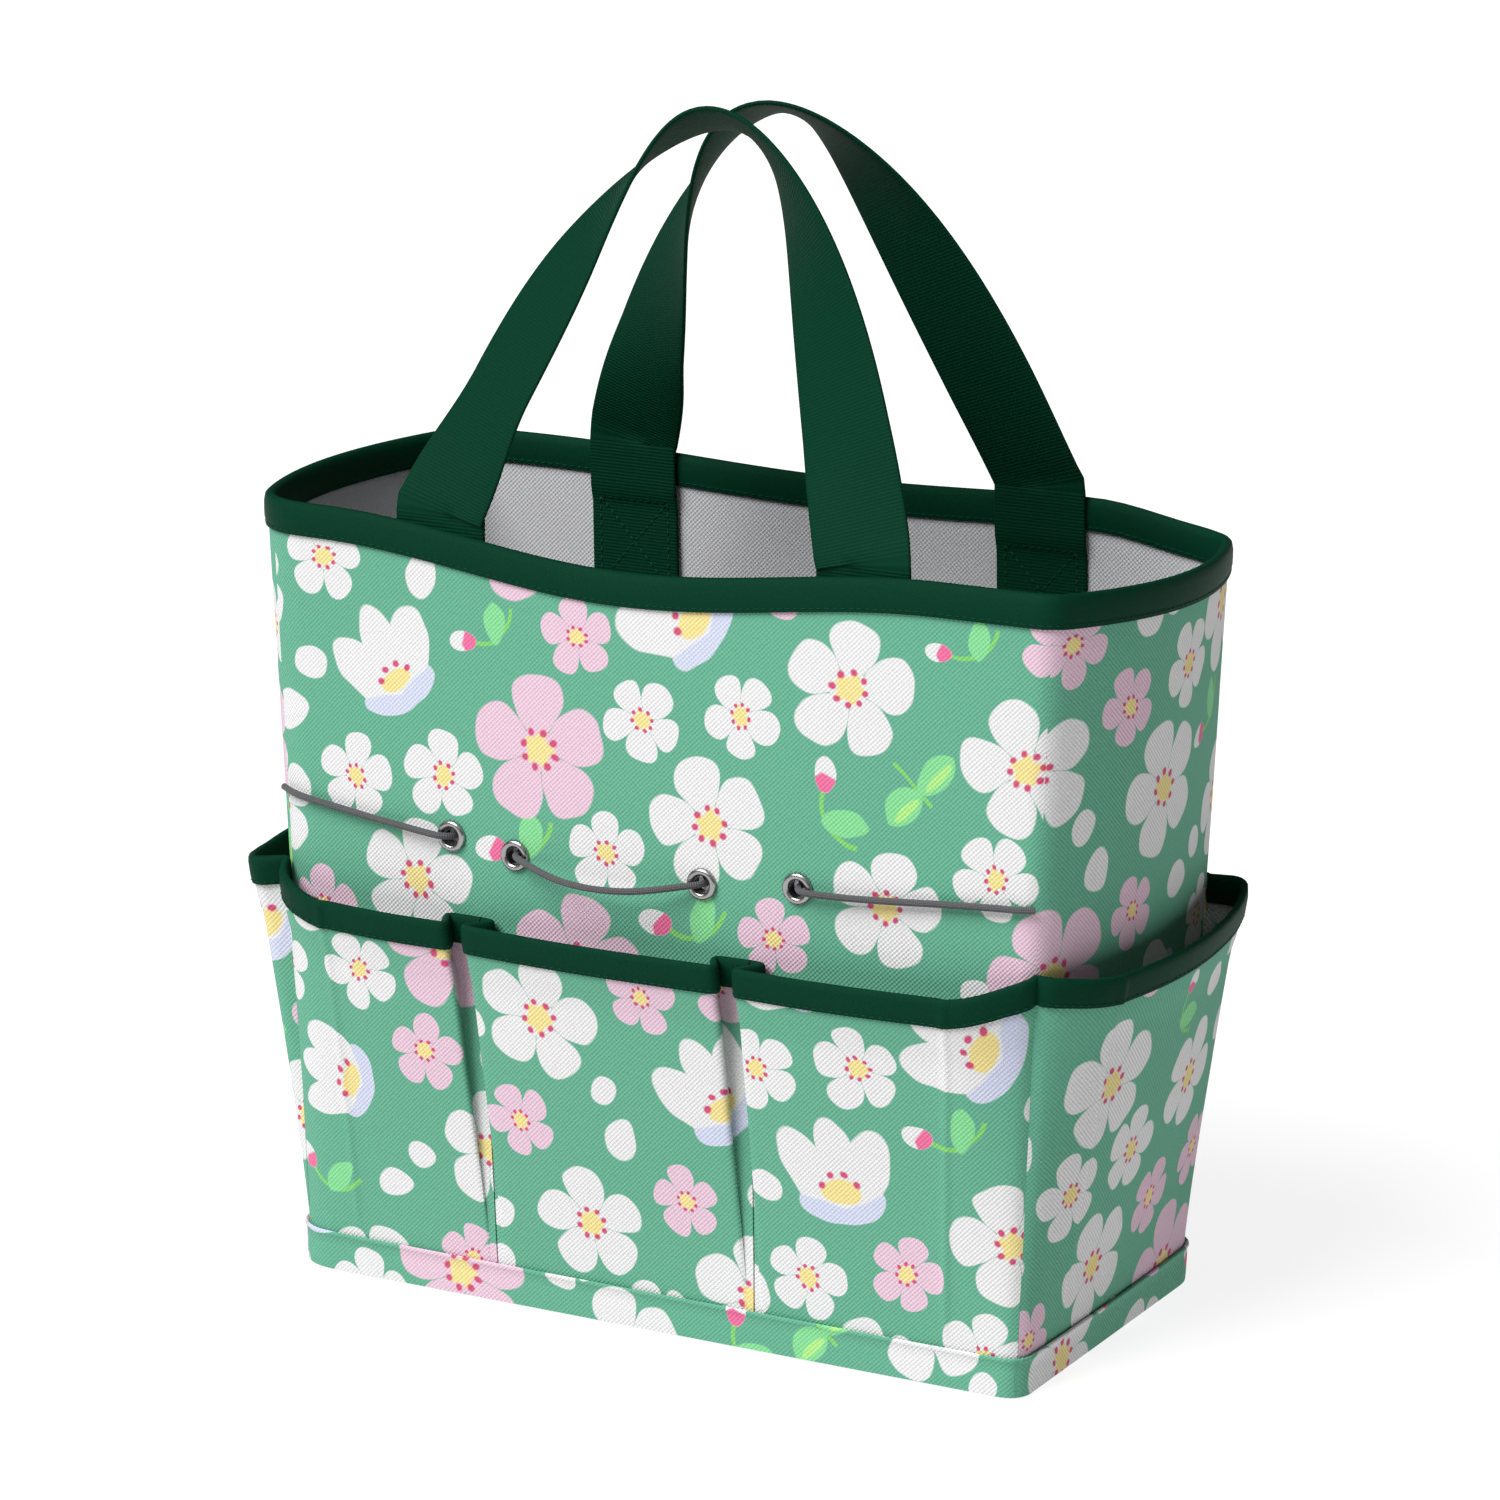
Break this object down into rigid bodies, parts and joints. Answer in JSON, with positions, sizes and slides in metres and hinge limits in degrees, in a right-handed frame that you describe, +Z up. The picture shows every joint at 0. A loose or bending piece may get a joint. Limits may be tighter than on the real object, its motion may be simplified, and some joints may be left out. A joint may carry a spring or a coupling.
{
  "type": "garden tool bag",
  "caption": "Open-topped cloth tote for hand tools, with pleated outside pockets, elastic tool loops with eyelets and two webbing carry handles that fold outwards.",
  "frame": {"origin": "on the floor under the middle of the bag, at the bottom centre of the whole object's box", "axes": "+Z up; -Y is the front, with the elastic tool loops; +X is to the right of someone facing the front"},
  "size_m": [0.3736, 0.1932, 0.4558],
  "materials": {
    "printed_cloth": "woven polyester canvas printed with loose garden flowers on green",
    "lining_cloth": "plain light grey woven lining, slight sheen",
    "binding_tape": "dark green twill tape, folded and stitched",
    "handle_webbing": "dark green woven webbing, matt with a fine rib",
    "dark_metal": "polished gunmetal plating",
    "elastic_cord": "round elastic with a braided dark grey cover",
    "base_board": "plain grey polypropylene board, hidden under the lining"
  },
  "bodies": {
    "bag": {"base_band_front": "printed_cloth", "base_band_left": "printed_cloth", "base_band_rear": "printed_cloth", "base_band_right": "printed_cloth", "base_board": "base_board", "cord_knot_1": "elastic_cord", "cord_knot_2": "elastic_cord", "cord_knot_3": "elastic_cord", "cord_knot_4": "elastic_cord", "elastic_cord_left": "elastic_cord", "elastic_cord_middle": "elastic_cord", "elastic_cord_right": "elastic_cord", "eyelet_1": "dark_metal", "eyelet_2": "dark_metal", "eyelet_3": "dark_metal", "eyelet_4": "dark_metal", "eyelet_washer_1": "dark_metal", "eyelet_washer_2": "dark_metal", "eyelet_washer_3": "dark_metal", "eyelet_washer_4": "dark_metal", "front_handle_tab_left": "handle_webbing", "front_handle_tab_right": "handle_webbing", "front_pocket_1": "printed_cloth", "front_pocket_1_binding": "binding_tape", "front_pocket_2": "printed_cloth", "front_pocket_2_binding": "binding_tape", "front_pocket_3": "printed_cloth", "front_pocket_3_binding": "binding_tape", "left_pocket": "printed_cloth", "left_pocket_binding": "binding_tape", "lining_base_panel": "lining_cloth", "lining_front_panel": "lining_cloth", "lining_left_panel": "lining_cloth", "lining_rear_panel": "lining_cloth", "lining_right_panel": "lining_cloth", "outer_base_panel": "printed_cloth", "outer_front_panel": "printed_cloth", "outer_left_panel": "printed_cloth", "outer_rear_panel": "printed_cloth", "outer_right_panel": "printed_cloth", "rear_handle_tab_left": "handle_webbing", "rear_handle_tab_right": "handle_webbing", "rear_pocket_1": "printed_cloth", "rear_pocket_1_binding": "binding_tape", "rear_pocket_2": "printed_cloth", "rear_pocket_2_binding": "binding_tape", "rear_pocket_3": "printed_cloth", "rear_pocket_3_binding": "binding_tape", "right_pocket": "printed_cloth", "right_pocket_binding": "binding_tape", "rim_binding_front": "binding_tape", "rim_binding_left": "binding_tape", "rim_binding_rear": "binding_tape", "rim_binding_right": "binding_tape"},
    "front_handle": {"front_handle": "handle_webbing"},
    "rear_handle": {"rear_handle": "handle_webbing"}
  },
  "joints": [
    {"name": "front_handle_swing", "type": "hinge", "parent": "bag", "child": "front_handle", "pos_m": [0, -0.07205, 0.304], "axis": [1, 0, 0], "range_deg": [0, 125]},
    {"name": "rear_handle_swing", "type": "hinge", "parent": "bag", "child": "rear_handle", "pos_m": [0, 0.07205, 0.304], "axis": [-1, 0, 0], "range_deg": [0, 121]}
  ]
}
